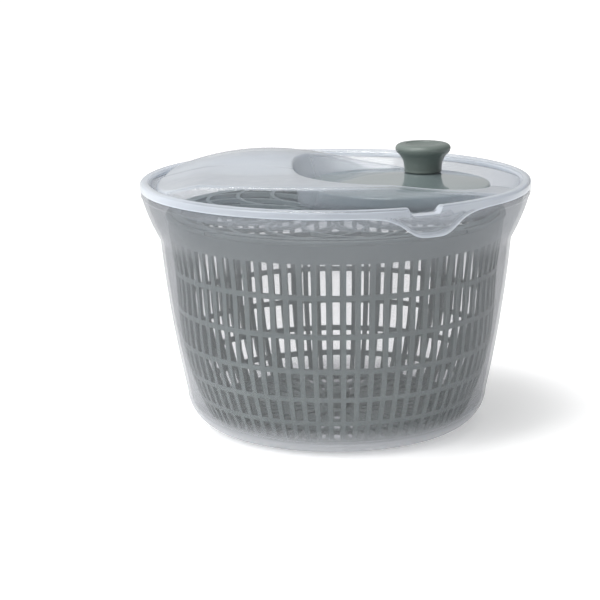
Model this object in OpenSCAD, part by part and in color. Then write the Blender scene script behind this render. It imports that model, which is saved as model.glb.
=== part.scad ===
// Salad spinner: bowl, slotted basket, lift-off lid and a geared turning crank.
// Origin: bottom centre of the bowl, +Z up, front of the object towards -Y. Millimetres.

/* [Overall] */
// height of the lid rim's top edge above the table
rim_z = 160.5; // [140:0.5:180]
// outside radius of the lid rim
lid_r = 125; // [110:0.5:140]
// smoothness of round parts
$fn = 96; // [48:8:160]

/* [Bowl] */
// wall thickness of the bowl
bowl_t = 1.9; // [1.4:0.1:3]
// radius of the flat underside
base_r = 72.9; // [60:0.1:80]
// radius of the round corner between underside and wall
corner_r = 24.7; // [10:0.1:30]
// height of the shoulder where the wall opens into the collar
shoulder_z = 124; // [110:0.5:135]

/* [Basket] */
// number of slots around the basket
slots = 74; // [40:1:96]
// share of the wall that is open in a row of slots
slot_open = 0.62; // [0.3:0.01:0.7]
// height of the level ribs between rows of slots
rib_h = 3.2; // [2:0.1:5]
// wall thickness of the basket
basket_t = 2; // [1.5:0.1:3]

/* [Basket cover] */
// number of crossing hoops in the cover
hoops = 16; // [10:1:24]
// width of one hoop
hoop_w = 2.6; // [1.5:0.1:4]

/* [Lid] */
// wall thickness of the lid
lid_t = 2; // [1.5:0.1:3]
// height of the hood above the rim
hood_h = 11.5; // [8:0.1:12]
// radius of the well that holds the crank, up to the level of the disc
well_r = 62.5; // [61:0.1:64]
// how much wider the well is at the top of the hood, for the knob to pass
well_flare = 7.7; // [4:0.1:8]
// depth of the pour notch in the rim
notch_d = 4.7; // [3:0.1:5]
// how far the tab hangs below the rim band
tab_d = 13.2; // [8:0.1:16]

/* [Crank] */
// radius of the crank disc
disc_r = 60; // [58:0.1:61]
// distance from the disc's centre to the knob's centre
knob_at = 46.5; // [40:0.1:47]

/* [Gears] */
// teeth inside the ring gear
ring_teeth = 65; // [65:1:65]
// teeth on the pinion
pinion_teeth = 15; // [15:1:15]
// tooth module
mod = 1.6; // [1.6:0.1:1.6]
// slack between the teeth
play = 0.3; // [0.1:0.05:0.5]

/* [Hidden] */
step = 0.01;
centres = mod * (ring_teeth - pinion_teeth) / 2;
mesh_a = 6;
crank_x = centres * cos(mesh_a);
crank_y = centres * sin(mesh_a);
knob_a = 66.5;
knob_x = crank_x + knob_at * cos(knob_a);
knob_y = crank_y + knob_at * sin(knob_a);
disc_z = rim_z - 4.6;
floor_z = rim_z - 13.7;
cover_z = rim_z - 23.4;
rim_ring_z = rim_z - 21.4;
rib_z = [103.6, 79.3, 57.2, 38.4, 22.0];
basket_line = [[83.8, 7.6], [90.1, 22], [95.8, 38.4], [100.1, 57.2], [102.4, 79.3], [103.9, 103.6], [107, 126]];
notch_a = -64.6;
tab_a = -62.5;
slot_pitch = 360 / slots;
near_c = [-3.5, 180];
far_c = [-3.5, -182];
side_r = 250;
dome_x = -45.4;
dome_y = 41.4;
dome_r = 180;
last_x = 115;
near_area = [[-130, -90], [130, -90], [130, -15], [0, -15], [-20, -5], [-110, 15], [-130, 17]];
near_profile = [[-118, -4], [-84, 4.6], [35, 4.8], [last_x, -5.9]];
far_area = [[-20, 30], [130, 15], [130, 90], [-20, 90]];
far_profile = [[-20, 7.7], [10, 2], [42, -4], [88, -13.7]];

// ---- helpers ----

// outside radius of the bowl's wall at height z
function wall_r(z) = 115.56 - pow(189.6 - z, 2) / 1524;

// outside radius of the collar, t running from 0 at the shoulder to 1 under the lip
function collar_r(t) = 113 + 11 * (1.35 * t - 0.35 * t * t);

// involute angle in degrees
function inv_deg(a) = tan(a) * 180 / PI - a;

// half the angle of a tooth at radius r
function half_tooth(n, r, slack) =
  90 / n + inv_deg(20) - inv_deg(acos(min(1, mod * n / 2 * cos(20) / r))) - slack / (mod * n) * 180 / PI;

// outline of a gear, with its flanks drawn through the radii in rr
module gear_outline(n, rr, slack) {
  last = len(rr) - 1;
  polygon([for (k = [0:n - 1]) each concat(
    [for (i = [0:last]) let (a = k * 360 / n - half_tooth(n, rr[i], slack)) rr[i] * [cos(a), sin(a)]],
    [for (i = [last:-1:0]) let (a = k * 360 / n + half_tooth(n, rr[i], slack)) rr[i] * [cos(a), sin(a)]])]);
}

// a ring between two radii
module tube(ro, ri, z0, z1) {
  translate([0, 0, z0])
    difference() {
      cylinder(r = ro, h = z1 - z0);
      translate([0, 0, -1]) cylinder(r = ri, h = z1 - z0 + 2);
    }
}

// a pan-head screw standing on its head, with the shank going up
module screw(head_r, head_h, shank_r, shank_h) {
  difference() {
    cylinder(r = head_r, h = head_h);
    translate([-head_r, -0.4, -1]) cube([head_r * 2, 0.8, 1.7]);
    translate([-0.4, -head_r, -1]) cube([0.8, head_r * 2, 1.7]);
  }
  translate([0, 0, head_h - step]) cylinder(r = shank_r, h = shank_h + step);
}

// ---- bowl ----

module bowl() {
  out_z = [for (z = [24:10:shoulder_z]) z];
  color([0.86, 0.88, 0.9, 0.35])
    difference() {
      union() {
        rotate_extrude()
          polygon(concat(
            [[0, 0], [base_r, 0]],
            [for (a = [6:6:78]) [base_r + corner_r * sin(a), corner_r * (1 - cos(a))]],
            [for (z = out_z) [wall_r(z), z]],
            [for (t = [0.12:0.22:0.9]) [collar_r(t), shoulder_z + 27 * t]],
            [[124, 151], [124.6, 151.6], [124.6, 154.7], [122.9, 154.7], [122.9, 155.6], [120, 155.6],
             [120, 148.6]],
            [for (t = [0.78:-0.22:0.1]) [collar_r(t) - 2.4, shoulder_z + 27 * t]],
            [for (i = [len(out_z) - 1:-1:0]) [wall_r(out_z[i]) - bowl_t, out_z[i]]],
            [for (a = [78:-6:6]) [base_r + (corner_r - bowl_t) * sin(a), corner_r - (corner_r - bowl_t) * cos(a)]],
            [[base_r, bowl_t], [0, bowl_t]]));
        cylinder(r = 6.5, h = 6);
      }
      translate([0, 0, 1]) cylinder(r = 2.5, h = 6);
      // clearance for the lid's hanging tab
      rotate([0, 0, tab_a - 23])
        rotate_extrude(angle = 46)
          translate([122.9, 138]) square([6, 16.7]);
    }
}

module pivot_pin() {
  color([0.8, 0.8, 0.82])
    translate([0, 0, 1])
      union() {
        cylinder(r = 2.5, h = 14);
        translate([0, 0, 14]) cylinder(r1 = 2.5, r2 = 1.2, h = 1);
      }
}

// bearing cup that stands over the pin; the basket turns on it and lifts off with it
module pivot_cup() {
  color([0.9, 0.9, 0.88])
    difference() {
      translate([0, 0, 6.4]) cylinder(r = 5, h = 11.1);
      translate([0, 0, 5]) cylinder(r = 2.55, h = 11.3);
    }
}

// ---- basket ----

module basket_wall() {
  n = len(basket_line) - 1;
  rotate_extrude()
    polygon(concat(
      [[0, 6], [81.8, 6]],
      basket_line,
      [[107.9, 136.3], [109.2, 136.9], [109.2, 138.6], [108.6, rim_ring_z], [105.6, rim_ring_z], [105.6, 136]],
      [for (i = [n:-1:1]) [basket_line[i][0] - basket_t, basket_line[i][1]]],
      [[81.4, 8.4], [0, 8.4]]));
}

module slot_row(z0, z1, r) {
  w = 2 * PI * r / slots * slot_open;
  for (i = [0:slots - 1])
    rotate([0, 0, (i + 0.5) * slot_pitch])
      translate([r - 9, -w / 2, z0])
        cube([18, w, z1 - z0]);
}

module basket() {
  color([0.45, 0.49, 0.48])
    difference() {
      union() {
        basket_wall();
        translate([0, 0, 6.3]) cylinder(r = 8.5, h = 13.2);
      }
      // wall slots, top row first
      slot_row(rib_z[0] + rib_h / 2, 125, 104.5);
      slot_row(rib_z[1] + rib_h / 2, rib_z[0] - rib_h / 2, 102.6);
      slot_row(rib_z[2] + rib_h / 2, rib_z[1] - rib_h / 2, 100.5);
      slot_row(rib_z[3] + rib_h / 2, rib_z[2] - rib_h / 2, 97);
      slot_row(rib_z[4] + rib_h / 2, rib_z[3] - rib_h / 2, 92);
      slot_row(10.2, rib_z[4] - rib_h / 2, 86);
      // drain slots in the bottom
      for (i = [0:15]) rotate([0, 0, i * 22.5]) translate([16, -1.7, 5]) cube([16, 3.4, 4]);
      for (i = [0:31]) rotate([0, 0, i * 11.25]) translate([37, -1.7, 5]) cube([17, 3.4, 4]);
      for (i = [0:47]) rotate([0, 0, i * 7.5]) translate([59, -1.9, 5]) cube([17, 3.8, 4]);
      // blind socket for the pivot cup
      translate([0, 0, 5]) cylinder(r = 5.05, h = 12.8);
      // pockets for the cover's lugs
      for (i = [0:3]) rotate([0, 0, i * 90 + 45]) translate([104, -4.4, 137]) cube([6, 8.8, 4]);
      // relief under the hub
      translate([0, 0, 5]) cylinder(r = 8, h = 1.3);
    }
}

// ---- basket cover, turning with the lid's drive ----

module basket_cover() {
  mid = 59.5;
  color([0.45, 0.49, 0.48])
    difference() {
      union() {
        translate([0, 0, cover_z])
          linear_extrude(height = 2.5)
            union() {
              for (i = [0:hoops - 1])
                rotate(i * 360 / hoops)
                  translate([mid, 0])
                    difference() {
                      circle(r = 42.6 + hoop_w / 2);
                      circle(r = 42.6 - hoop_w / 2);
                    }
              difference() {
                circle(r = 105.2);
                circle(r = 99.6);
              }
              difference() {
                circle(r = 18);
                circle(r = 7);
              }
            }
        for (i = [0:3]) rotate([0, 0, i * 90 + 45]) translate([104, -4, 137.3]) cube([4.4, 8, 2.2]);
      }
      for (i = [0:3]) rotate([0, 0, i * 90]) translate([12.5, 0, cover_z - 1]) cylinder(r = 1.25, h = 5);
    }
}

module hub_screws() {
  color([0.75, 0.75, 0.77])
    for (i = [0:3])
      rotate([0, 0, i * 90])
        translate([12.5, 0, cover_z - 1.6])
          screw(2.6, 1.6, 1.25, 4);
}

module drive_coupler() {
  color([0.36, 0.4, 0.4])
    difference() {
      union() {
        translate([0, 0, 139.6]) cylinder(r = 17, h = 1.8);
        translate([0, 0, 139.6]) cylinder(r = 7.5, h = 3.2);
      }
      translate([0, 0, 140.6]) cylinder(r = 4.05, h = 4, $fn = 6);
      translate([0, 0, 139]) cylinder(r = 1.6, h = 4);
      for (i = [0:3]) rotate([0, 0, i * 90]) translate([12.5, 0, 139]) cylinder(r = 1.25, h = 2.1);
    }
}

module coupler_screw() {
  color([0.75, 0.75, 0.77])
    translate([0, 0, 137.4]) screw(4.4, 2.2, 1.5, 7.4);
}

// ---- pinion and bushes ----

module pinion() {
  color([0.9, 0.9, 0.88])
    difference() {
      union() {
        translate([0, 0, 147.6])
          linear_extrude(height = 3.8)
            rotate(mesh_a + 180)
              gear_outline(pinion_teeth, [10.1, 11.35, 12.4, 13.4], play / 2);
        translate([0, 0, 143]) cylinder(r = 4, h = 5);
        translate([0, 0, 140.8]) cylinder(r = 3.95, h = 2.4, $fn = 6);
      }
      translate([0, 0, 140]) cylinder(r = 1.5, h = 7);
    }
}

module bush(ro, ri, flange_r) {
  difference() {
    union() {
      translate([0, 0, floor_z - lid_t - 1]) cylinder(r = ro, h = lid_t + 1 + step);
      translate([0, 0, floor_z]) cylinder(r = flange_r, h = 0.5);
    }
    translate([0, 0, floor_z - lid_t - 2]) cylinder(r = ri, h = lid_t + 4);
  }
}

module pinion_bush() {
  color([0.2, 0.2, 0.2]) bush(6.2, 4.05, 7.4);
}

module crank_bush() {
  color([0.2, 0.2, 0.2]) translate([crank_x, crank_y, 0]) bush(7.5, 5.05, 9);
}

// ---- lid ----

// rim, sloping inner wall and flat floor
module lid_rim() {
  rotate_extrude()
    polygon([[0, floor_z - lid_t], [109.2, floor_z - lid_t], [119.7, rim_z - 3.3], [119.7, rim_z - 1.9],
      [123.2, rim_z - 1.9], [123.2, rim_z - 5.5], [lid_r, rim_z - 5.5], [lid_r, rim_z - 2.1],
      [124.7, rim_z - 1.1], [123.9, rim_z - 0.3], [122.5, rim_z], [120.3, rim_z - 0.2],
      [118.4, rim_z - 1.3], [117.3, rim_z - 3.1], [108.8, rim_z - 13.1], [107.5, floor_z], [0, floor_z]]);
}

// plan of the raised hood, drawn in by g
module hood_plan(g) {
  intersection() {
    translate(near_c) circle(r = side_r - g);
    translate(far_c) circle(r = side_r - g);
    circle(r = 115 - 2.5 * g);
  }
  translate([crank_x, crank_y]) circle(r = 66 - g);
}

// solid ledge beside the dome: the part of the hood's plan inside an area, cut to a profile along x
module ledge(g, z0, area, profile) {
  intersection() {
    translate([0, 0, z0])
      linear_extrude(height = 50)
        intersection() {
          hood_plan(g);
          offset(delta = -g) polygon(area);
        }
    rotate([90, 0, 0])
      linear_extrude(height = 200, center = true)
        polygon(concat([[profile[0][0], z0]], [for (p = profile) [p[0], rim_z + p[1] - g]], [[last_x, z0]]));
  }
}

// solid hood: a shallow dome at the back, a level ledge in front of it that runs round the well, a falling ledge
// behind the well, all rounded off towards the rim
module hood(g, z0) {
  intersection() {
    translate([0, 0, rim_z - 118]) sphere(r = 165 - g);
    union() {
      intersection() {
        translate([0, 0, z0]) linear_extrude(height = 50) hood_plan(g);
        translate([dome_x, dome_y, rim_z + hood_h - dome_r]) sphere(r = dome_r - g);
      }
      ledge(g, z0, near_area, near_profile);
      ledge(g, z0, far_area, far_profile);
    }
  }
}

// tab that hangs from the rim band below the notch
module lid_tab() {
  intersection() {
    tube(lid_r, 123.2, rim_z - 20, rim_z - 5);
    rotate([0, 0, tab_a])
      rotate([90, 0, 90])
        translate([0, 0, 90])
          linear_extrude(height = 40)
            polygon(concat(
              [[46, rim_z - 5], [-46, rim_z - 5]],
              [for (u = [-46:4:46]) [u, rim_z - 5.5 - tab_d * max(0, 1.03 / (1 + pow(u / 19, 4)) - 0.03)]]));
  }
}

// round the well: straight beside the disc, then flaring out; g makes it wider
module well(g, z0) {
  translate([crank_x, crank_y, z0]) cylinder(r = well_r + g, h = disc_z - z0 + step);
  translate([crank_x, crank_y, disc_z]) cylinder(r1 = well_r + g, r2 = well_r + g + well_flare, h = 19.2);
}

module lid_shell() {
  color([0.85, 0.88, 0.92, 0.5])
    difference() {
      union() {
        lid_rim();
        hood(0, floor_z - 1);
        lid_tab();
      }
      difference() {
        hood(lid_t, floor_z - 6);
        well(lid_t, floor_z - 10);
      }
      well(0, floor_z);
      translate([0, 0, floor_z - 10]) cylinder(r = 6.2, h = 20);
      translate([crank_x, crank_y, floor_z - 10]) cylinder(r = 7.5, h = 20);
      // pour notch through the rim
      rotate([0, 0, notch_a])
        rotate([90, 0, 90])
          translate([0, 0, 115.9])
            linear_extrude(height = 12)
              polygon([[-8.7, rim_z - notch_d], [8.7, rim_z - notch_d], [12.2, rim_z + 2], [-12.2, rim_z + 2]]);
    }
}

// ---- crank ----

module crank_disc() {
  h = disc_z;
  color([0.66, 0.71, 0.73])
    difference() {
      union() {
        translate([crank_x, crank_y, 0])
          rotate_extrude()
            polygon([[0, 147.6], [6.5, 147.6], [6.5, 152.9], [58, 152.9], [58, 149.8], [disc_r, 149.8],
              [disc_r, h - 1.2], [disc_r - 0.4, h - 0.4], [disc_r - 1.4, h], [0, h]]);
        translate([crank_x, crank_y, 143.4]) cylinder(r = 5, h = 5);
      }
      translate([crank_x, crank_y, 143]) cylinder(r = 1.7, h = 9);
      translate([knob_x, knob_y, h - 2]) cylinder(r = 3, h = 4);
      for (i = [0:2])
        translate([crank_x, crank_y, 0]) rotate([0, 0, i * 120]) translate([17, 0, 152]) cylinder(r = 1.2, h = 2.6);
    }
}

module drive_gear() {
  color([0.9, 0.9, 0.88])
    translate([crank_x, crank_y, 0])
      difference() {
        union() {
          tube(57.3, 7, 151.7, 152.9);
          tube(57.3, 49.5, 147.4, 151.8);
        }
        translate([0, 0, 146])
          linear_extrude(height = 5.7)
            rotate(mesh_a + 180)
              gear_outline(ring_teeth, [50.7, 52.3, 54], -play / 2);
        for (i = [0:2]) rotate([0, 0, i * 120]) translate([17, 0, 150]) cylinder(r = 1.2, h = 4);
      }
}

module gear_screws() {
  color([0.75, 0.75, 0.77])
    translate([crank_x, crank_y, 0])
      for (i = [0:2])
        rotate([0, 0, i * 120])
          translate([17, 0, 150.2])
            screw(2.8, 1.5, 1.2, 2.8);
}

module crank_washer() {
  color([0.75, 0.75, 0.77])
    translate([crank_x, crank_y, 0]) tube(8, 1.8, 142.2, 143.4);
}

module crank_screw() {
  color([0.75, 0.75, 0.77])
    translate([crank_x, crank_y, 140.1]) screw(3.3, 2.1, 1.7, 9.2);
}

// ---- knob ----

// post that the knob turns on, pressed into the disc
module knob_post() {
  color([0.66, 0.71, 0.73])
    translate([knob_x, knob_y, disc_z])
      difference() {
        union() {
          cylinder(r = 4.5, h = 12.6);
          translate([0, 0, -2]) cylinder(r = 3, h = 3);
        }
        translate([0, 0, 3]) cylinder(r = 1.5, h = 12);
      }
}

module knob_body() {
  b = disc_z;
  color([0.37, 0.4, 0.39])
    translate([knob_x, knob_y, 0])
      rotate_extrude()
        polygon([[4.55, b + 0.3], [12.5, b + 0.3], [12.35, b + 2.6], [12.85, b + 6.3], [14, b + 9.4],
          [15.8, b + 11.9], [17.6, b + 13.7], [18.3, b + 15.9], [17.6, b + 17.7], [15.8, b + 18.8],
          [13.4, b + 19.1], [11, b + 19.1], [11, b + 17.4], [8.2, b + 17.4], [8.2, b + 12.4], [4.55, b + 12.4]]);
}

module knob_cap() {
  color([0.4, 0.43, 0.42])
    translate([knob_x, knob_y, disc_z])
      rotate_extrude()
        polygon([[0, 17.4], [11, 17.4], [11, 18.7], [8.8, 18.2], [0, 18]]);
}

module knob_washer() {
  color([0.75, 0.75, 0.77])
    translate([knob_x, knob_y, 0]) tube(6.8, 1.6, disc_z + 12.6, disc_z + 13.6);
}

module knob_screw() {
  color([0.75, 0.75, 0.77])
    translate([knob_x, knob_y, disc_z + 15.6])
      rotate([180, 0, 0])
        screw(3.3, 2, 1.5, 10);
}

bowl();
pivot_pin();
pivot_cup();
basket();
basket_cover();
hub_screws();
drive_coupler();
coupler_screw();
pinion();
pinion_bush();
crank_bush();
lid_shell();
crank_disc();
drive_gear();
gear_screws();
crank_washer();
crank_screw();
knob_post();
knob_body();
knob_cap();
knob_washer();
knob_screw();
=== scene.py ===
from math import asin, atan2, cos, hypot, pi, radians, sin, sqrt

import bmesh
import bpy
from mathutils import Matrix, Vector


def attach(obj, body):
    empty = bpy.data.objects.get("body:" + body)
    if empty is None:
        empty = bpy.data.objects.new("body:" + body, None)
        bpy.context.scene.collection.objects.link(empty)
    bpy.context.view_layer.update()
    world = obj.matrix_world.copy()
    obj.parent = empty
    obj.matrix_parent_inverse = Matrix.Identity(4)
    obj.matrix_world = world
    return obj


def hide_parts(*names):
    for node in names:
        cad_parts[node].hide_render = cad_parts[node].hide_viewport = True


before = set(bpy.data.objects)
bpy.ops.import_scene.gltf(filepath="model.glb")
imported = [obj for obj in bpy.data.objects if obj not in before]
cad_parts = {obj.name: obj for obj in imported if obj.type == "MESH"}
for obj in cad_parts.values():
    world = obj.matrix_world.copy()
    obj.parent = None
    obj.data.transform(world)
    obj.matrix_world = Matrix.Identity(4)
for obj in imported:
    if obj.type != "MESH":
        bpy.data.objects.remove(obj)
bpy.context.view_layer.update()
scene = bpy.context.scene

# ---- sizes in millimetres, as in the CAD; MM turns them into metres ----

MM = 0.001
RIM_Z = 160.5
FLOOR_Z = RIM_Z - 13.7
LID_T = 2.0
LID_R = 124.97
RING_TOP = RIM_Z - 21.4
SHOULDER_Z = 124.0
BOWL_T = 1.9
BASE_R = 72.9
CORNER_R = 24.7
DISC_Z = RIM_Z - 4.6
CRANK = (40 * cos(radians(6)), 40 * sin(radians(6)))
KNOB_AT = 46.5
KNOB_A = radians(66.5)
KNOB = (CRANK[0] + KNOB_AT * cos(KNOB_A), CRANK[1] + KNOB_AT * sin(KNOB_A))
WELL_R = 62.5
FLARE = 19.2 / 7.7
BOSS_R = 66.0
NEAR_C, FAR_C, SIDE_R = (-3.5, 180.0), (-3.5, -182.0), 250.0
TAB_A = radians(-62.5)
NOTCH_A = radians(-64.6)


# ---- mesh helpers ----


def make_mesh(name, verts, faces, sharp=35):
    """An object from points in millimetres, shaded smooth except at edges sharper than sharp degrees."""
    mesh = bpy.data.meshes.new(name)
    mesh.from_pydata([Vector(v) * MM for v in verts], [], faces)
    bm = bmesh.new()
    bm.from_mesh(mesh)
    bmesh.ops.remove_doubles(bm, verts=bm.verts, dist=2e-6)
    bmesh.ops.dissolve_degenerate(bm, edges=bm.edges, dist=1e-6)
    bmesh.ops.recalc_face_normals(bm, faces=bm.faces)
    bm.to_mesh(mesh)
    bm.free()
    shade(mesh, sharp)
    obj = bpy.data.objects.new(name, mesh)
    scene.collection.objects.link(obj)
    return obj


def shade(mesh, sharp):
    """Smooth faces, with sharp edges where they meet at more than sharp degrees."""
    bm = bmesh.new()
    bm.from_mesh(mesh)
    for f in bm.faces:
        f.smooth = True
    for e in bm.edges:
        e.smooth = len(e.link_faces) == 2 and e.calc_face_angle(0) < radians(sharp)
    bm.to_mesh(mesh)
    bm.free()


def prism(outline, z0, z1, turn=0):
    """A closed upright prism, turned about the origin by turn degrees."""
    c, s = cos(radians(turn)), sin(radians(turn))
    n = len(outline)
    verts = [(x * c - y * s, x * s + y * c, z) for z in (z0, z1) for x, y in outline]
    faces = [tuple(range(n - 1, -1, -1)), tuple(range(n, 2 * n))]
    faces += [(k, (k + 1) % n, n + (k + 1) % n, n + k) for k in range(n)]
    return verts, faces


def cut(obj, prisms, sharp=35):
    """Take closed shapes out of an object."""
    verts, faces = [], []
    for v, f in prisms:
        faces += [tuple(k + len(verts) for k in face) for face in f]
        verts += v
    tool = make_mesh("tool", verts, faces)
    m = obj.modifiers.new("cut", "BOOLEAN")
    m.operation, m.solver, m.object = "DIFFERENCE", "EXACT", tool
    whole = obj.data
    done = obj.evaluated_get(bpy.context.evaluated_depsgraph_get())
    obj.data = bpy.data.meshes.new_from_object(done)
    obj.modifiers.remove(m)
    obj.data.name = whole.name
    bpy.data.meshes.remove(whole)
    bpy.data.objects.remove(tool)
    shade(obj.data, sharp)
    return obj


def loops_to_faces(n_cols, n_pts):
    """Quads between neighbouring closed loops of points, all the way round."""
    faces = []
    for i in range(n_cols):
        a, b = i * n_pts, (i + 1) % n_cols * n_pts
        for j in range(n_pts):
            k = (j + 1) % n_pts
            faces.append((a + j, b + j, b + k, a + k))
    return faces


def spline(points, steps=4):
    """Catmull-Rom curve through the points."""
    p = [points[0]] + list(points) + [points[-1]]
    out = []
    for i in range(1, len(p) - 2):
        for s in range(steps):
            t = s / steps
            out.append(
                tuple(
                    0.5 * (2 * p[i][k] + (p[i + 1][k] - p[i - 1][k]) * t
                           + (2 * p[i - 1][k] - 5 * p[i][k] + 4 * p[i + 1][k] - p[i + 2][k]) * t * t
                           + (3 * p[i][k] - p[i - 1][k] - 3 * p[i + 1][k] + p[i + 2][k]) * t ** 3)
                    for k in range(2)
                )
            )
    out.append(tuple(points[-1]))
    return out


def round_corners(points, radius, steps=4):
    """The same closed outline with each corner rounded, as far as its sides allow."""
    out = []
    n = len(points)
    for i in range(n):
        a, b, c = Vector(points[i - 1]), Vector(points[i]), Vector(points[(i + 1) % n])
        u, v = (a - b), (c - b)
        if b[0] < 1e-6 or u.length < 1e-6 or v.length < 1e-6:
            out.append(tuple(b))
            continue
        d = min(radius, 0.45 * u.length, 0.45 * v.length)
        p, q = b + u.normalized() * d, b + v.normalized() * d
        for s in range(steps + 1):
            t = s / steps
            out.append(tuple((1 - t) ** 2 * p + 2 * t * (1 - t) * b + t * t * q))
    return out


def revolve(name, outline, centre=(0, 0), cols=160, sharp=40, clip=None):
    """A closed outline of (radius, height) turned about an upright axis. clip(angle, r, z) may pull r in."""
    verts = []
    for i in range(cols):
        a = 2 * pi * i / cols
        for r, z in outline:
            if clip:
                r = clip(a, r, z)
            verts.append((centre[0] + r * cos(a), centre[1] + r * sin(a), z))
    return make_mesh(name, verts, loops_to_faces(cols, len(outline)), sharp)


def bevel(obj, width):
    """Round all edges sharper than 30 degrees."""
    m = obj.modifiers.new("bevel", "BEVEL")
    m.width, m.segments, m.limit_method, m.angle_limit = width * MM, 2, "ANGLE", radians(30)
    return obj


# ---- materials ----


def srgb(*levels):
    """Linear colour from red, green and blue of 0-255."""
    parts = [v / 255 for v in levels]
    linear = [c / 12.92 if c <= 0.04045 else ((c + 0.055) / 1.055) ** 2.4 for c in parts]
    return (*linear, 1)


class Nodes:
    """A new material and short ways to add nodes to it."""

    def __init__(self, name):
        self.mat = bpy.data.materials.new(name)
        self.mat.use_nodes = True
        self.tree = self.mat.node_tree
        self.tree.nodes.clear()
        self.out = self.add("ShaderNodeOutputMaterial")
        self.coord = self.add("ShaderNodeTexCoord")

    def add(self, kind, **inputs):
        n = self.tree.nodes.new(kind)
        for k, v in inputs.items():
            n.inputs[k.replace("_", " ")].default_value = v
        return n

    def link(self, a, b):
        self.tree.links.new(a, b)

    def noise(self, scale, detail=3, rough=0.5, squash=None):
        n = self.add("ShaderNodeTexNoise", Scale=scale, Detail=detail, Roughness=rough)
        if squash:
            m = self.add("ShaderNodeMapping")
            m.inputs["Scale"].default_value = squash
            self.link(self.coord.outputs["Object"], m.inputs["Vector"])
            self.link(m.outputs["Vector"], n.inputs["Vector"])
        else:
            self.link(self.coord.outputs["Object"], n.inputs["Vector"])
        return n.outputs["Fac"]

    def remap(self, value, lo, hi, to_lo, to_hi):
        """Value from lo..hi to to_lo..to_hi, held at the ends."""
        n = self.add("ShaderNodeMapRange")
        for k, v in zip(("From Min", "From Max", "To Min", "To Max"), (lo, hi, to_lo, to_hi)):
            n.inputs[k].default_value = v
        self.link(value, n.inputs["Value"])
        return n.outputs["Result"]

    def math(self, op, a, b, clamp=False):
        n = self.add("ShaderNodeMath")
        n.operation, n.use_clamp = op, clamp
        for k, v in enumerate((a, b)):
            if isinstance(v, (int, float)):
                n.inputs[k].default_value = v
            else:
                self.link(v, n.inputs[k])
        return n.outputs[0]

    def ramp(self, value, *stops):
        n = self.add("ShaderNodeValToRGB")
        e = n.color_ramp.elements
        while len(e) < len(stops):
            e.new(0.5)
        for s, (p, c) in zip(e, stops):
            s.position, s.color = p, c
        self.link(value, n.inputs["Fac"])
        return n.outputs["Color"]

    def bump(self, height, strength, distance):
        n = self.add("ShaderNodeBump", Strength=strength, Distance=distance)
        self.link(height, n.inputs["Height"])
        return n.outputs["Normal"]

    def mark(self, name):
        """A float attribute of the mesh."""
        n = self.add("ShaderNodeAttribute")
        n.attribute_name = name
        return n.outputs["Fac"]

    def mix(self, share, a, b):
        """Shader a with a share of shader b."""
        n = self.add("ShaderNodeMixShader")
        for socket, v in zip(n.inputs, (share, a.outputs[0], b.outputs[0])):
            if isinstance(v, float):
                socket.default_value = v
            else:
                self.link(v, socket)
        return n


def plastic(name, dark, light, rough=(0.35, 0.5), grain=900, depth=0.00004, coat=0.0, mottle=30):
    """Moulded plastic: slow colour drift, a fine grain of some depth in metres and uneven sheen."""
    m = Nodes(name)
    p = m.add("ShaderNodeBsdfPrincipled")
    p.inputs["Coat Weight"].default_value = coat
    p.inputs["Coat Roughness"].default_value = 0.03
    m.link(m.ramp(m.noise(mottle, 4), (0.3, dark), (0.7, light)), p.inputs["Base Color"])
    m.link(m.remap(m.noise(mottle * 4, 3), 0.3, 0.7, *rough), p.inputs["Roughness"])
    m.link(m.bump(m.noise(grain, 2), 0.5, depth), p.inputs["Normal"])
    m.link(p.outputs[0], m.out.inputs["Surface"])
    return m.mat


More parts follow.
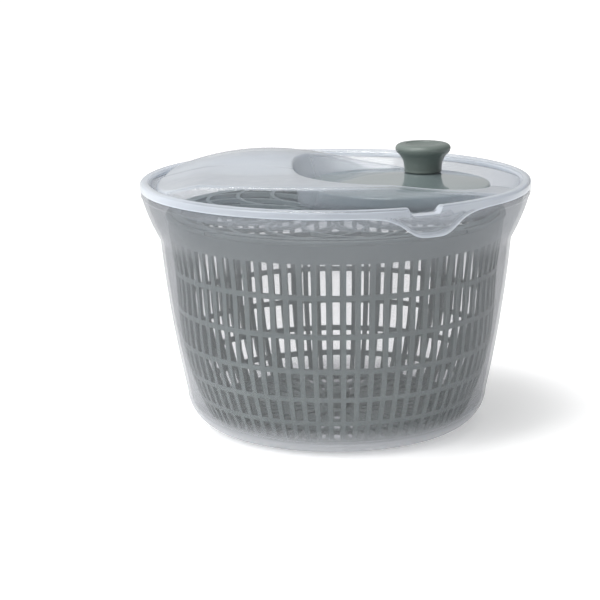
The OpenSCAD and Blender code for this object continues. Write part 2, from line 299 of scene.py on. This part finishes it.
def clear(name, milk, tint, deep, face, edge, power, streak, rough, gloss, sheen, glow, bands=(), lip=0,
          thin=0, painted_glow=None):
    """Clear or frosted plastic, in three shares.

    See-through: coloured tint seen straight on and deep seen edge on.
    Milk: a share that grows from face to edge as the surface turns away, and clouds by streak. Each of
    bands adds to it as (height of none, height of all, amount), lip adds painted glow on the rim's band and
    a painted highlight on cut edges, and thin takes off where the wall is clearest. The last argument is
    (height of none, height of all, colour) for milk painted lighter towards the bottom, a painted glow of
    floor light.
    glow is how much of its light comes through from behind.
    Gloss: a mirror of roughness gloss whose share grows to sheen as the surface turns away.
    """
    m = Nodes(name)
    turned = m.add("ShaderNodeLayerWeight", Blend=0.5).outputs["Facing"]
    place = m.add("ShaderNodeSeparateXYZ")
    m.link(m.coord.outputs["Object"], place.inputs[0])
    height = place.outputs["Z"]

    see = m.add("ShaderNodeBsdfTransparent")
    m.link(m.ramp(turned, (0.3, tint), (0.95, deep)), see.inputs["Color"])

    share = m.remap(m.math("POWER", turned, power), 0, 1, face, edge)
    cloud = m.remap(m.noise(26, 3, 0.5, (1, 1, 0.4)), 0.3, 0.7, -streak, streak)
    share = m.math("ADD", share, cloud, clamp=True)
    for none, full, amount in bands:
        extra = m.remap(height, none * MM, full * MM, 0, amount)
        share = m.math("ADD", share, extra, clamp=True)
    mirror = m.remap(m.math("POWER", turned, 5), 0, 1, 0.04, sheen)
    # painted glow: the lip attribute paints the rim's band lighter, and its cut edge lighter still
    if lip:
        share = m.math("ADD", share, m.math("MULTIPLY", m.mark("lip"), lip), clamp=True)
    if thin:
        left = m.remap(m.mark("thin"), 0, 1, 1, 1 - thin)
        share = m.math("MULTIPLY", share, left)
        mirror = m.math("MULTIPLY", mirror, left)

    colour = m.ramp(m.noise(14, 3), (0.3, milk[0]), (0.7, milk[1]))
    # painted glow: the milk is painted lighter towards the bottom, standing for floor light coming through
    # the clear base
    if painted_glow:
        lighter = m.add("ShaderNodeMixRGB", Color2=painted_glow[2])
        m.link(m.remap(height, painted_glow[0] * MM, painted_glow[1] * MM, 0, 1), lighter.inputs["Fac"])
        m.link(colour, lighter.inputs["Color1"])
        colour = lighter.outputs["Color"]
    normal = m.bump(m.noise(60, 2), 0.25, 0.0001)
    skin = m.add("ShaderNodeBsdfPrincipled")
    skin.inputs["Specular IOR Level"].default_value = 0.4
    m.link(colour, skin.inputs["Base Color"])
    m.link(m.remap(m.noise(120, 3), 0.3, 0.7, *rough), skin.inputs["Roughness"])
    m.link(normal, skin.inputs["Normal"])
    through = m.add("ShaderNodeBsdfTranslucent")
    m.link(colour, through.inputs["Color"])

    shine = m.add("ShaderNodeBsdfGlossy", Roughness=gloss)
    m.link(normal, shine.inputs["Normal"])
    body = m.mix(share, see, m.mix(glow, skin, through))
    m.link(m.mix(mirror, body, shine).outputs[0], m.out.inputs["Surface"])
    return m.mat


def metal(name):
    """Bare steel with fine mottling."""
    m = Nodes(name)
    p = m.add("ShaderNodeBsdfPrincipled")
    p.inputs["Metallic"].default_value = 1.0
    dark, light = srgb(168, 168, 172), srgb(205, 205, 208)
    m.link(m.ramp(m.noise(400, 3), (0.3, dark), (0.7, light)), p.inputs["Base Color"])
    m.link(m.remap(m.noise(900, 2), 0.3, 0.7, 0.22, 0.38), p.inputs["Roughness"])
    m.link(p.outputs[0], m.out.inputs["Surface"])
    return m.mat


MATS = {
    "basket_grey": plastic("basket_grey", srgb(98, 109, 110), srgb(110, 121, 121), (0.34, 0.48), mottle=22),
    "coupler_grey": plastic("coupler_grey", srgb(100, 110, 112), srgb(112, 122, 124), (0.35, 0.5)),
    "disc_gloss": plastic("disc_gloss", srgb(116, 129, 131), srgb(124, 137, 138), (0.08, 0.13),
                          depth=0.000004, coat=0.6, mottle=14),
    "knob_matte": plastic("knob_matte", srgb(98, 108, 104), srgb(108, 118, 113), (0.3, 0.42), grain=1400),
    "gear_white": plastic("gear_white", srgb(214, 216, 213), srgb(226, 227, 224), (0.35, 0.5)),
    "bush_dark": plastic("bush_dark", srgb(48, 49, 50), srgb(60, 61, 62), (0.4, 0.55)),
    "steel": metal("steel"),
    "bowl_clear": clear(
        "bowl_clear",
        milk=(srgb(148, 153, 159), srgb(160, 165, 171)),
        tint=(0.9, 0.9, 0.905, 1),
        deep=(0.78, 0.785, 0.795, 1),
        face=0.02,
        edge=0.5,
        power=3.0,
        streak=0.01,
        rough=(0.1, 0.2),
        gloss=0.08,
        sheen=0.2,
        glow=0.35,
        # the last band thickens the milk towards the bottom, as part of the same painted glow
        bands=((40, 118, 0.04), (116, 128, 0.14), (20, 4, 0.4)),
        # painted glow: milk painted lighter towards the bottom, standing for floor light coming through the
        # clear base
        painted_glow=(60, 6, srgb(236, 238, 242)),
    ),
    "lid_frosted": clear(
        "lid_frosted",
        milk=(srgb(214, 220, 229), srgb(227, 232, 238)),
        tint=(0.97, 0.978, 0.985, 1),
        deep=(0.95, 0.96, 0.975, 1),
        face=0.09,
        edge=0.95,
        power=1.6,
        streak=0.02,
        rough=(0.15, 0.25),
        gloss=0.1,
        sheen=0.7,
        glow=0.35,
        # lip: painted glow on the rim's band and a painted highlight on its cut edge
        lip=0.5,
        thin=0.75,
    ),
}


def dress(obj, slot, body, *replaced):
    """Material slot, body and the CAD nodes that a new piece stands for."""
    obj.data.materials.append(MATS[slot])
    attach(obj, body)
    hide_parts(*replaced)


# ---- bowl ----


COLLAR_H, COLLAR_T = 27, 2.4


def wall_r(z):
    """Outside radius of the bowl's wall."""
    return 115.56 - (189.6 - z) ** 2 / 1524


def collar_r(t):
    """Outside radius of the flared collar, t from its foot at 0 to its rim at 1."""
    return 113 + 11 * (1.35 * t - 0.35 * t * t)


def corner(radius, top, degrees):
    """Points on the rounded corner between the bowl's bottom and its wall."""
    turns = [radians(a) for a in degrees]
    return [(BASE_R + radius * sin(a), top - radius * cos(a)) for a in turns]


def bowl():
    """One outline: out under the bottom, up the outside, over the lip and down the inside to the pivot."""
    out = [(0, 0), (BASE_R - 8, 0), (BASE_R - 3, 0.05), (BASE_R, 0.1)]
    out += corner(CORNER_R, CORNER_R, range(6, 79, 6))
    out += [(wall_r(z), z) for z in range(24, 122, 5)]
    out += [(wall_r(123), 122.6), (wall_r(124) + 0.25, 123.8)]
    out += [(collar_r(t), SHOULDER_Z + COLLAR_H * t) for t in [0.06 + 0.0625 * k for k in range(15)]]
    lip = [(124, 151), (124.6, 151.6), (124.6, 154.7), (122.9, 154.7), (122.9, 155.6), (120, 155.6),
           (120, 148.6)]
    out += round_corners([out[-1]] + lip + [(117.4, 142)], 0.45)[5:-5]
    inside = [0.75 - 0.0625 * k for k in range(11)]
    out += [(collar_r(t) - COLLAR_T, SHOULDER_Z + COLLAR_H * t) for t in inside]
    out += [(wall_r(z) - BOWL_T, z) for z in range(121, 23, -5)]
    out += corner(CORNER_R - BOWL_T, CORNER_R, range(78, 5, -6))
    out += [(BASE_R, BOWL_T), (8, BOWL_T), (6.7, 2.4), (6.5, 3), (6.5, 5.6), (6.1, 6), (2.5, 6), (2.5, 1)]
    out += [(0, 1)]

    def cut_back(a, r, z):
        """The collar is flat-backed behind the lid's tab."""
        near_tab = abs((a - TAB_A + pi) % (2 * pi) - pi) < radians(23)
        return min(r, 122.9) if near_tab and z > 138 else r

    return revolve("bowl_shell", out, cols=240, clip=cut_back)


# ---- basket ----

BASKET_LINE = [(83.8, 7.6), (90.1, 22), (95.8, 38.4), (100.1, 57.2), (102.4, 79.3), (103.9, 103.6),
               (107, 126)]
BASKET_T = 2.0
RIB_Z = [22.0, 38.4, 57.2, 79.3, 103.6]
RIB_H = 3.2
SLOTS = 74
SLOT_OPEN = 0.62  # share of the pitch that is open
SLOTS_Z = (10.2, 125)
ROW_R = [86, 92, 97, 100.5, 102.6, 104.5]
BASKET_RIM = [(107.15, 127), (107.9, 136.3), (108.9, 136.75), (109.2, 137.1), (109.2, 138.4),
              (109.0, 138.8), (108.6, RING_TOP), (106.1, RING_TOP), (105.7, 138.9), (105.6, 138.5),
              (105.6, 136), (105.2, 127)]
BASKET_FOOT = [(83.4, 9.0), (82.9, 7.2), (82.2, 6.3), (81.4, 6), (8, 6), (8, 6.3), (5.05, 6.3),
               (5.05, 17.8), (0, 17.8), (0, 19.5), (8, 19.5), (8.5, 19), (8.5, 9), (9.1, 8.4),
               (79.6, 8.4), (80.9, 8.8), (81.6, 9.4)]
FLOOR_SLOTS = ((16, 16, 32, 3.4), (32, 37, 54, 3.4), (48, 59, 76, 3.8))  # count, inner and outer end, width


def basket_r(z):
    """Outside radius of the basket's wall, a smooth curve through the CAD's line."""
    pts = BASKET_LINE
    if z <= pts[0][1]:
        return pts[0][0]
    for i in range(len(pts) - 1):
        (r0, z0), (r1, z1) = pts[i], pts[i + 1]
        if z <= z1:
            def slope(k):
                k0, k1 = max(k - 1, 0), min(k + 1, len(pts) - 1)
                return (pts[k1][0] - pts[k0][0]) / (pts[k1][1] - pts[k0][1])
            h = z1 - z0
            t = (z - z0) / h
            return ((2 * t ** 3 - 3 * t * t + 1) * r0 + (t ** 3 - 2 * t * t + t) * h * slope(i)
                    + (-2 * t ** 3 + 3 * t * t) * r1 + (t ** 3 - t * t) * h * slope(i + 1))
    return pts[-1][0]


def basket_levels():
    """Heights of the wall's points, with half the angle of a slot and whether one opens above."""
    edges = [SLOTS_Z[0]] + [v for z in RIB_Z for v in (z - RIB_H / 2, z + RIB_H / 2)] + [SLOTS_Z[1]]
    levels = []
    for k, r in enumerate(ROW_R):
        z0, z1 = edges[2 * k], edges[2 * k + 1]
        half = asin(pi * r / SLOTS * SLOT_OPEN / basket_r((z0 + z1) / 2))
        n = 3 if z1 - z0 > 12 else 2
        for s in range(n + 1):
            levels.append((z0 + (z1 - z0) * s / n, half, s < n))
    return levels


def basket_holes():
    """Slots in the basket's bottom and pockets for the cover's lugs in its rim."""
    holes = []
    for count, r0, r1, width in FLOOR_SLOTS:
        h = width / 2
        ends = [(r1 - h + h * sin(radians(a)), h * cos(radians(a))) for a in range(0, 181, 36)]
        slot = ends + [(r0 + r1 - x, -y) for x, y in ends]
        holes += [prism(slot, 4, 9.5, 360 * i / count) for i in range(count)]
    pocket = [(104, -4.4), (112, -4.4), (112, 4.4), (104, 4.4)]
    return holes + [prism(pocket, 137, 141, 45 + 90 * i) for i in range(4)]


def basket():
    """The wall is a grid of ribs: each slot is a gap between two posts and two level ribs."""
    levels = basket_levels()
    n_lv = len(levels)
    verts, faces = [], []
    pitch = 2 * pi / SLOTS
    for i in range(SLOTS):
        mid = (i + 0.5) * pitch
        for side in (-1, 1):
            for skin in (0, BASKET_T):
                for z, half, _ in levels:
                    r = basket_r(z) - skin
                    a = mid + side * half
                    verts.append((r * cos(a), r * sin(a), z))

    def vid(i, side, skin, lv):
        """Number of a vertex: slot, its side, outside or inside, level."""
        return ((i % SLOTS) * 4 + side * 2 + skin) * n_lv + lv

    def quad(*corners):
        faces.append(tuple(vid(*c) for c in corners))

    for i in range(SLOTS):
        for lv in range(n_lv - 1):
            up = lv + 1
            for skin in (0, 1):
                quad((i, 1, skin, lv), (i + 1, 0, skin, lv), (i + 1, 0, skin, up), (i, 1, skin, up))
            for k in (0, 1):
                if levels[lv][2]:
                    quad((i, k, 0, lv), (i, k, 1, lv), (i, k, 1, up), (i, k, 0, up))
                else:
                    quad((i, 0, k, lv), (i, 1, k, lv), (i, 1, k, up), (i, 0, k, up))
        for lv in range(n_lv):
            below = lv > 0 and levels[lv - 1][2]
            if below != levels[lv][2]:
                quad((i, 0, 0, lv), (i, 1, 0, lv), (i, 1, 1, lv), (i, 0, 1, lv))

    cols = [(i, side) for i in range(SLOTS) for side in (0, 1)]
    for lv, line in ((n_lv - 1, BASKET_RIM), (0, BASKET_FOOT)):
        first = len(verts)
        n = len(line)
        for i, side in cols:
            v = verts[vid(i, side, 0, lv)]
            a = atan2(v[1], v[0])
            verts += [(r * cos(a), r * sin(a), z) for r, z in line]
        for c, (i, side) in enumerate(cols):
            j, other = cols[(c + 1) % len(cols)]
            p, q = first + c * n, first + (c + 1) % len(cols) * n
            faces.append((vid(i, side, 0, lv), vid(j, other, 0, lv), q, p))
            faces.append((vid(i, side, 1, lv), vid(j, other, 1, lv), q + n - 1, p + n - 1))
            for k in range(n - 1):
                if line[k][0] or line[k + 1][0]:
                    faces.append((p + k, q + k, q + k + 1, p + k + 1))
    return bevel(cut(make_mesh("basket_wall", verts, faces), basket_holes()), 0.45)


# ---- lid ----


HOOD_H = 11.5  # of the dome's top above the rim
DOME = (-45.4, 41.4, 180.0)  # centre and radius
EDGE_BALL = (118, 165)  # depth of its centre under the rim, and radius
LEAF_R = 115
NEAR_LEDGE = [(-118, -4), (-84, 4.6), (35, 4.8), (115, -5.9)]
NEAR_END = [(-130, 17), (-110, 15), (-20, -5), (0, -15), (130, -15)]
FAR_LEDGE = [(-20, 7.7), (10, 2), (42, -4), (88, -13.7), (115, -19)]
FLAT_R, FOOT_R, CREST_R = 106.5, 108.8, 117.3  # end of the floor, foot and crest of the slope to the rim
UNDER_R, POCKET_R = 109.2, 123.2
NOTCH_W, NOTCH_D, NOTCH_RUN = 8.7, 4.7, 2.6  # half its bottom, depth, and length of its slanting sides
BAND_H, TAB_H = 5.5, 13.2

# Points of a section through the lid: distances out from the well's wall, distances out from the edge
# of the hood's plan, radii on the slope, and (radius, height over the rim) of the rounded rim.
TOP_WELL = (-0.6, -0.45, -0.35, -0.25, -0.15, -0.05, 0.1, 0.4, 0.8, 1.2, 1.6, 2.0, 2.4, 2.8, 3.2, 3.6, 4.0,
            4.4, 4.8, 5.3, 5.8, 6.3, 6.8, 7.4)
TOP_PLAN = (-4, -3.2, -2.6, -2.0, -1.5, -1.0, -0.6, -0.3, -0.1, 0, 0.25, 0.6, 1.0, 1.5, 2.0, 2.5, 3.2, 4)
UNDER_WELL = (1.3, 1.45, 1.55, 1.65, 1.75, 1.85, 1.95, 2.2, 2.8, 3.4, 4.0, 4.6, 5.2, 5.8, 6.4, 7.0, 7.6,
              8.2, 8.8, 9.6)
UNDER_PLAN = (-5, -4, -3.5, -3, -2.7, -2.4, -2.2, -2.0, -1.9, -1.7, -1.4, -1, -0.5, 0, 0.6)
SLOPE_R = (106.2, 106.9, 107.5, 108.1, 108.8, 110.5, 112.5, 114.5, 116)
RIM_ROUND = ((117.8, -2.1), (118.4, -1.3), (119.2, -0.65), (120.3, -0.2), (121.4, 0), (122.5, 0),
             (123.3, -0.1), (123.9, -0.35), (124.4, -0.75), (124.8, -1.35), (LID_R, -2.1))
HOOD_STEPS = 18
START_R = 7.5


def smin(a, b, k):
    """The lower of two heights, blended where they are closer than k."""
    h = max(0.0, min(1.0, 0.5 + 0.5 * (b - a) / k))
    return b * (1 - h) + a * h - k * h * (1 - h)


def smax(a, b, k):
    """The higher of two heights, blended where they are closer than k."""
    return -smin(-a, -b, k)


def inside_plan(x, y):
    """How far a point lies inside the hood's plan, in millimetres."""
    leaf = smin(SIDE_R - hypot(x - NEAR_C[0], y - NEAR_C[1]), SIDE_R - hypot(x - FAR_C[0], y - FAR_C[1]), 6)
    leaf = smin(leaf, LEAF_R - hypot(x, y), 4)
    return smax(leaf, BOSS_R - hypot(x - CRANK[0], y - CRANK[1]), 3)


def along(profile, x):
    """Height at x of a line through the profile's points."""
    for (x0, z0), (x1, z1) in zip(profile, profile[1:]):
        if x <= x1:
            return z0 + (z1 - z0) * (x - x0) / (x1 - x0)
    return z1


def hood_top(x, y):
    """Height of the hood's outside without its edge: a dome, a ledge before it and one behind the well."""
    dome = RIM_Z + HOOD_H - DOME[2] + sqrt(DOME[2] ** 2 - (x - DOME[0]) ** 2 - (y - DOME[1]) ** 2)
    near = RIM_Z + along(NEAR_LEDGE, x) - max(0.0, y - along(NEAR_END, x)) * 0.7
    far = RIM_Z + along(FAR_LEDGE, x) - max(0.0, 30 - (x + 20) / 10 - y, -20 - x) * 0.7
    depth, radius = EDGE_BALL
    edge = RIM_Z - depth + sqrt(radius ** 2 - min(x * x + y * y, (radius - 1) ** 2))
    return smin(smax(smax(dome, near, 5), far, 2), edge, 2)


def drop(d, r, steep):
    """Fall of a rounded edge of radius r at distance d inside it; outside it the wall goes down steeply."""
    if d >= r:
        return 0.0
    if d > 0:
        return r - sqrt(max(0.0, r * r - (r - d) ** 2))
    return r - d * steep


def lid_base(r, under=False):
    """Height of the lid's floor and of the slope up to its rim."""
    if under:
        if r < UNDER_R:
            return FLOOR_Z - LID_T
        return FLOOR_Z - LID_T + (r - UNDER_R) * (RIM_Z - 3.3 - FLOOR_Z + LID_T) / (119.7 - UNDER_R)
    if r <= FLAT_R:
        return FLOOR_Z
    z = RIM_Z - 13.1 + (r - FOOT_R) * 10 / 8.5
    return smax(FLOOR_Z, z, 1.2)


def well_wall(rho, wall_r):
    """Height of the well's wall, rho from the crank's axis: steep beside the disc, then flaring out."""
    if rho < wall_r:
        return DISC_Z - (wall_r - rho) * 24
    return DISC_Z + (rho - wall_r) * FLARE


def lid_top(x, y):
    """Height of the lid's outside."""
    rho = hypot(x - CRANK[0], y - CRANK[1])
    base = lid_base(hypot(x, y))
    if rho < WELL_R - 1.6:
        return base
    hood = hood_top(x, y) - drop(inside_plan(x, y), 2.6, 9)
    return smax(base, smin(hood, well_wall(rho, WELL_R), 1.5), 0.8)


def lid_under(x, y):
    """Height of the lid's inside."""
    rho = hypot(x - CRANK[0], y - CRANK[1])
    base = lid_base(hypot(x, y), True)
    if rho < WELL_R + LID_T - 1:
        return base
    hood = hood_top(x, y) - LID_T - drop(inside_plan(x, y) - LID_T, 1.2, 9)
    hood = smin(hood, well_wall(rho, WELL_R + LID_T), 1.0)
    return min(smax(base, hood, 0.6), lid_top(x, y) - 1.4)


def ray_to_circle(a, centre, radius):
    """Distance from the crank's axis, along direction a, to a circle round centre."""
    ux, uy = cos(a), sin(a)
    fx, fy = CRANK[0] - centre[0], CRANK[1] - centre[1]
    b = fx * ux + fy * uy
    return -b + sqrt(b * b - fx * fx - fy * fy + radius * radius)


def ray_to_plan(a):
    """Distance from the crank's axis, along direction a, to the edge of the hood's plan."""
    lo, hi = 60.0, ray_to_circle(a, (0, 0), 117.0)
    for _ in range(40):
        mid = (lo + hi) / 2
        if inside_plan(CRANK[0] + mid * cos(a), CRANK[1] + mid * sin(a)) > 0:
            lo = mid
        else:
            hi = mid
    return lo


def notch_cap(x, y):
    """Highest the rim may reach: it dips at the pour notch."""
    u = -x * sin(NOTCH_A) + y * cos(NOTCH_A)
    v = x * cos(NOTCH_A) + y * sin(NOTCH_A)
    if v < 60:
        return RIM_Z + 9
    rise = max(0.0, abs(u) - NOTCH_W) * NOTCH_D / NOTCH_RUN
    return RIM_Z - NOTCH_D + rise


def tab_edge(a):
    """Height of the rim band's lower edge, with the tab hanging below the notch."""
    da = (a - TAB_A + pi) % (2 * pi) - pi
    if abs(da) > radians(25):
        return RIM_Z - BAND_H
    u = 125 * sin(da)
    return RIM_Z - BAND_H - TAB_H * max(0.0, 1.03 / (1 + (u / 19) ** 4) - 0.03)


def stations(a, edge, reach, well, plan):
    """Distances from the crank's axis of a section's points in direction a, out to reach at the crest."""
    room = min(1.0, (reach - edge - 0.4) / 5)
    s = [START_R, 9, 20, 34, 48, 57]
    s += [WELL_R + d for d in well]
    start = WELL_R + well[-1]
    s += [start + (edge - 5 - start) * (k + 1) / (HOOD_STEPS + 1) for k in range(HOOD_STEPS)]
    s += [edge + d * (room if d > 0 else 1) for d in plan]
    s += [ray_to_circle(a, (0, 0), r) for r in SLOPE_R]
    s += [reach]
    s = sorted(min(max(v, START_R), reach) for v in s)
    for k in range(1, len(s)):
        s[k] = max(s[k], s[k - 1] + 0.02)
    return s


def rim_section(phi):
    """Points over the rim at angle phi, down its band and up into the pocket for the bowl's lip."""
    cx, cy = cos(phi), sin(phi)
    cap = notch_cap(121 * cx, 121 * cy)
    low = tab_edge(phi)
    top = min(RIM_Z - 2.1, cap)
    roof = min(RIM_Z - 1.9, cap - 0.14)
    line = [(r, min(RIM_Z + z, cap - (0.25 if r > 124.5 else 0))) for r, z in RIM_ROUND]
    line += [(LID_R, top - 0.4)]
    line += [(LID_R, top - 0.4 + (low + 0.5 - top + 0.4) * t) for t in (0.25, 0.5, 0.75)]
    line += [(LID_R, low + 0.5), (124.8, low + 0.12), (124.4, low), (123.7, low), (123.3, low + 0.15)]
    line += [(POCKET_R, low + 0.5)]
    line += [(POCKET_R, low + 0.5 + (roof - 0.3 - low - 0.5) * t) for t in (0.4, 0.8)]
    line += [(POCKET_R, roof - 0.05), (123.0, roof), (121.4, roof), (119.9, roof)]
    line += [(119.7, min(roof - 0.05, RIM_Z - 2.1)), (119.6, min(RIM_Z - 3.3, roof - 0.1))]
    return [(r * cx, r * cy, z) for r, z in line]


def lid_angles():
    """Angles of the sections, closer together at the notch and the tab."""
    angles = [radians(1.5 * k) for k in range(240)]
    across = (7.6, 8.5, 9.2, 10.4, 11.2, 11.6)
    angles += [(NOTCH_A + side * asin(u / 122)) % (2 * pi) for side in (-1, 1) for u in across]
    turns = (6.8, 8.2, 9.6, 11, 15.7, 21)
    angles += [(TAB_A + side * radians(d)) % (2 * pi) for side in (-1, 1) for d in turns]
    angles = sorted(angles)
    return [a for k, a in enumerate(angles) if a - angles[k - 1] > radians(0.12) or k == 0]


def lid():
    """One loop of points for each section: out over the top, round the rim and back underneath."""
    angles = lid_angles()
    verts = []
    for phi in angles:
        dx, dy = CREST_R * cos(phi) - CRANK[0], CREST_R * sin(phi) - CRANK[1]
        a, reach = atan2(dy, dx), hypot(dx, dy)
        edge = ray_to_plan(a)
        loop = []
        for s in stations(a, edge, reach, TOP_WELL, TOP_PLAN):
            x, y = CRANK[0] + s * cos(a), CRANK[1] + s * sin(a)
            z = lid_top(x, y)
            if hypot(x, y) > 105:
                z = min(z, notch_cap(x, y))
            loop.append((x, y, z))
        loop += rim_section(phi)
        for s in reversed(stations(a, edge, reach, UNDER_WELL, UNDER_PLAN)):
            x, y = CRANK[0] + s * cos(a), CRANK[1] + s * sin(a)
            z = lid_under(x, y)
            if hypot(x, y) > 105:
                z = min(z, min(lid_top(x, y), notch_cap(x, y)) - 1.2)
            loop.append((x, y, z))
        verts += loop
    obj = make_mesh("lid_moulding", verts, loops_to_faces(len(angles), len(loop)), 50)
    bore = [(6.2 * cos(radians(a)), 6.2 * sin(radians(a))) for a in range(0, 360, 10)]
    cut(obj, [prism(bore, FLOOR_Z - 6, FLOOR_Z + 3)], 50)
    mark_lid(obj.data)
    return obj


def mark_lid(mesh):
    """Attributes: lip, a painted glow on the rim's band and a painted highlight on its cut edge; thin, for
    the frosted look, on the floor and the slope.
    """
    lip = mesh.attributes.new("lip", "FLOAT", "POINT")
    thin = mesh.attributes.new("thin", "FLOAT", "POINT")
    for k, v in enumerate(mesh.vertices):
        x, y, z = v.co / MM
        r = hypot(x, y)
        # painted highlight along the cut edge of the rim band at 1.0, and painted glow on the band itself at
        # 0.6
        edge = 1.0 if r > 123.1 and z < tab_edge(atan2(y, x)) + 0.55 else 0.0
        band = 0.6 if r > 119 and z > RIM_Z - 5.6 else 0
        lip.data[k].value = max(edge, band if z < RIM_Z - 1.2 else band / 2)
        on_base = r < 119.65 and min(abs(z - lid_base(r)), abs(z - lid_base(r, True))) < 0.5
        thin.data[k].value = 1.0 if on_base else 0.0


# ---- crank and knob ----


def crank_disc():
    """Turning disc with rounded edge, skirt and spindle."""
    h = DISC_Z
    outline = [(0, 147.6), (6.5, 147.6), (6.5, 152.9), (58, 152.9), (58, 149.8), (60, 149.8), (60, h - 1.6)]
    outline += [(59.85, h - 1.0), (59.5, h - 0.5), (58.9, h - 0.15), (58.2, h), (30, h), (0, h)]
    return revolve("crank_top", outline, CRANK, 200, 30)


def knob_grip():
    """Knob with a narrow neck and a wide head, hollow for the inset and the post."""
    side = spline([(12.5, 0.9), (12.35, 2.6), (12.85, 6.3), (14, 9.4), (15.8, 11.9), (17.6, 13.7),
                   (18.3, 15.9), (17.6, 17.7), (15.8, 18.8), (13.4, 19.09)], 5)
    outline = [(4.55, 0.3), (12.0, 0.3), (12.4, 0.5)] + side + [(12.2, 19.09), (11.3, 18.95), (11, 18.6)]
    outline += [(11, 17.4), (8.2, 17.4), (8.2, 12.4), (4.55, 12.4)]
    return revolve("knob_grip", [(r, DISC_Z + z) for r, z in outline], KNOB, 128, 40)


def knob_inset():
    """Dished inset in the knob's top."""
    outline = [(0, 17.4), (11, 17.4), (11, 18.6), (10.4, 18.65), (8.9, 18.25), (8.0, 18.05), (0, 18)]
    return revolve("knob_inset", [(r, DISC_Z + z) for r, z in outline], KNOB, 96, 40)


# ---- camera, light and floor ----

FLOOR_HALF = 6000  # millimetres


def camera():
    """Camera fitted to the rim, the shoulder and the basket's ribs."""
    yaw, pitch, roll = radians(-1.0647), radians(12.7334), radians(-0.6897)
    ahead = Vector((sin(yaw) * cos(pitch), cos(yaw) * cos(pitch), -sin(pitch)))
    right0 = Vector((cos(yaw), -sin(yaw), 0))
    up0 = Vector((sin(yaw) * sin(pitch), cos(yaw) * sin(pitch), cos(pitch)))
    right = right0 * cos(roll) + up0 * sin(roll)
    up = up0 * cos(roll) - right0 * sin(roll)
    cam = bpy.data.cameras.new("camera")
    cam.sensor_width = 36
    cam.lens = 119.47
    cam.clip_start, cam.clip_end = 0.05, 50
    obj = bpy.data.objects.new("camera", cam)
    scene.collection.objects.link(obj)
    m = Matrix((right, up, -ahead)).transposed().to_4x4()
    m.translation = Vector((0, -1.26265, 0.36508))
    obj.matrix_world = m
    scene.camera = obj


def add_light(name, kind):
    light = bpy.data.lights.new(name, kind)
    obj = bpy.data.objects.new(name, light)
    scene.collection.objects.link(obj)
    return light, obj


def aim(obj, direction):
    obj.rotation_euler = Vector(direction).to_track_quat("-Z", "Y").to_euler()


def area(name, place, target, size, power):
    """A rectangular lamp at a place, turned to a target."""
    light, obj = add_light(name, "AREA")
    light.shape, light.energy = "RECTANGLE", power
    light.size, light.size_y = size
    obj.location = place
    aim(obj, Vector(target) - Vector(place))


def surroundings():
    """White to the camera, and for the light brighter on the object's left than on its right."""
    world = bpy.data.worlds.new("studio")
    scene.world = world
    world.use_nodes = True
    tree = world.node_tree
    tree.nodes.clear()
    new, link = tree.nodes.new, tree.links.new
    coord, sep, fade = new("ShaderNodeTexCoord"), new("ShaderNodeSeparateXYZ"), new("ShaderNodeMapRange")
    lit, seen, path = new("ShaderNodeBackground"), new("ShaderNodeBackground"), new("ShaderNodeLightPath")
    mix, out = new("ShaderNodeMixShader"), new("ShaderNodeOutputWorld")
    for k, v in (("From Min", -1), ("From Max", 1), ("To Min", 1.3), ("To Max", 0.1)):
        fade.inputs[k].default_value = v
    seen.inputs["Color"].default_value = (1, 1, 1, 1)
    link(coord.outputs["Generated"], sep.inputs[0])
    link(sep.outputs["X"], fade.inputs["Value"])
    link(fade.outputs[0], lit.inputs["Strength"])
    link(path.outputs["Is Camera Ray"], mix.inputs[0])
    link(lit.outputs[0], mix.inputs[1])
    link(seen.outputs[0], mix.inputs[2])
    link(mix.outputs[0], out.inputs["Surface"])


def studio():
    """Light from all round, two lamps and a wide soft sun, over a white floor."""
    surroundings()
    area("key_left", (-0.9, -0.8, 1.0), (0, 0, 0.1), (0.5, 0.5), 4)
    area("top_soft", (-0.2, -0.2, 1.2), (0, 0, 0.1), (0.5, 0.25), 6)
    sun, obj = add_light("sun", "SUN")
    sun.energy, sun.angle = 1.0, radians(70)
    aim(obj, (0.5, 0.45, -0.9))

    half = FLOOR_HALF
    floor = make_mesh("floor", [(-half, -half, 0), (half, -half, 0), (half, half, 0), (-half, half, 0)],
                      [(0, 1, 2, 3)])
    m = Nodes("floor_white")
    p = m.add("ShaderNodeBsdfPrincipled", Roughness=0.7, Emission_Strength=0.3)
    p.inputs["Emission Color"].default_value = (1, 1, 1, 1)
    dark, light = srgb(251, 251, 251), srgb(254, 254, 254)
    m.link(m.ramp(m.noise(3, 2), (0.3, dark), (0.7, light)), p.inputs["Base Color"])
    m.link(p.outputs[0], m.out.inputs["Surface"])
    floor.data.materials.append(m.mat)


scene.view_settings.view_transform = "Standard"
scene.cycles.transparent_max_bounces = 48
camera()
studio()

dress(bowl(), "bowl_clear", "base", "bowl")
dress(basket(), "basket_grey", "basket", "basket")
dress(lid(), "lid_frosted", "lid", "lid_shell")
dress(crank_disc(), "disc_gloss", "crank", "crank_disc")
dress(knob_grip(), "knob_matte", "knob", "knob_body")
dress(knob_inset(), "knob_matte", "knob", "knob_cap")

# pieces that the CAD's own meshes stand for, by material
CARRIED = {
    "steel": ("pivot_pin", "hub_screws", "coupler_screw", "gear_screws", "crank_washer", "crank_screw",
              "knob_washer", "knob_screw"),
    "gear_white": ("pivot_cup", "pinion"),
    "basket_grey": ("basket_cover",),
    "coupler_grey": ("drive_coupler", "drive_gear"),
    "bush_dark": ("pinion_bush", "crank_bush"),
    "disc_gloss": ("knob_post",),
}
for slot, names in CARRIED.items():
    for name in names:
        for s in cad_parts[name].material_slots:
            s.link = "OBJECT"
            s.material = MATS[slot]
